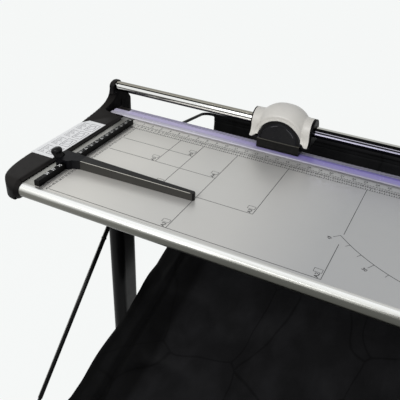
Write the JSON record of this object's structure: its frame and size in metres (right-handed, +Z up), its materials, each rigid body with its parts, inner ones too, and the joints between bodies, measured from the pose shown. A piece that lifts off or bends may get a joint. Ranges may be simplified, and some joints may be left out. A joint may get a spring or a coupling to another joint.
{
  "type": "rotary paper trimmer on stand",
  "caption": "Large rotary paper trimmer on legs: a cutting head slides on a round rail over a printed table, with a clamp strip, a sliding side stop and a fabric catch sling.",
  "frame": {"origin": "centre of the bounding box at floor level", "axes": "+X along the cut to the right, +Y to the rear over the counter blade, +Z up"},
  "size_m": [1.497, 0.8112, 0.979],
  "materials": {
    "table_print": "satin",
    "bright_aluminium": "brushed",
    "black_steel": "satin",
    "tool_steel": "ground",
    "zinc_steel": "plated",
    "rail_chrome": "polished",
    "cap_plastic": "satin",
    "label_white": "satin",
    "ruler_black": "satin",
    "shell_white": "satin",
    "cover_black": "gloss",
    "lip_black": "satin",
    "carriage_cast": "cast",
    "bush_plastic": "satin",
    "clamp_lavender": "translucent",
    "pad_rubber": "matt",
    "stop_plastic": "satin",
    "arm_paint": "satin",
    "knob_plastic": "satin",
    "sling_fabric": "woven"
  },
  "bodies": {
    "table_stand": {"table_panel": "table_print", "front_nose": "bright_aluminium", "rear_beam": "black_steel", "cross_members": "black_steel", "lower_blade": "tool_steel", "lower_blade_screws": "zinc_steel", "side_channel": "bright_aluminium", "side_ruler": "ruler_black", "ruler_screws": "zinc_steel", "end_cap_left": "cap_plastic", "end_cap_right": "cap_plastic", "label_plate": "label_white", "cap_screws": "zinc_steel", "guide_rail": "rail_chrome", "rail_bolts": "zinc_steel", "clamp_pads": "pad_rubber", "leg_left": "black_steel", "leg_right": "black_steel", "leg_brackets": "black_steel", "bracket_bolts": "zinc_steel", "foot_left": "black_steel", "foot_right": "black_steel", "foot_plugs": "lip_black", "foot_pads": "pad_rubber", "crossbar": "black_steel", "crossbar_bolts": "zinc_steel", "rear_sockets": "black_steel", "front_sockets": "black_steel", "rear_rod": "black_steel", "front_rod": "black_steel", "catch_sling": "sling_fabric", "rear_hem": "sling_fabric", "front_hem": "sling_fabric"},
    "head": {"head_shell": "shell_white", "carriage": "carriage_cast", "blade_cover": "cover_black", "cover_screws": "zinc_steel", "glide_bush_left": "bush_plastic", "glide_bush_right": "bush_plastic", "end_lip_left": "lip_black", "end_lip_right": "lip_black", "rail_key": "bush_plastic", "blade_axle": "tool_steel", "blade_spring": "tool_steel"},
    "blade": {"rotary_blade": "tool_steel", "blade_hub": "bush_plastic"},
    "clamp": {"clamp_strip": "clamp_lavender"},
    "stop": {"stop_head": "stop_plastic", "stop_arm": "arm_paint", "lock_shoe": "tool_steel"},
    "knob": {"lock_knob": "knob_plastic", "lock_screw": "zinc_steel"}
  },
  "joints": [
    {"name": "head_slide", "type": "slide", "parent": "table_stand", "child": "head", "axis": [1, 0, 0], "range_m": [-0.384, 0.934]},
    {"name": "blade_spin", "type": "hinge", "parent": "head", "child": "blade", "pos_m": [-0.2745, 0.2006, 0.888], "axis": [0, 1, 0], "continuous": true},
    {"name": "clamp_press", "type": "slide", "parent": "table_stand", "child": "clamp", "axis": [0, 0, -1], "range_m": [0, 0.0012], "stiffness_N_per_m": 20000, "deforming": ["clamp_pads"]},
    {"name": "stop_slide", "type": "slide", "parent": "table_stand", "child": "stop", "axis": [0, 1, 0], "range_m": [-0.082, 0.215]},
    {"name": "knob_turn", "type": "hinge", "parent": "stop", "child": "knob", "pos_m": [-0.665, -0.126, 0.878], "axis": [-0.3746, 0, 0.9272], "range_deg": [-180, 180]}
  ],
  "couplings": [
    {"joint": "blade_spin", "follows": "head_slide", "rad_per_m": 50}
  ]
}
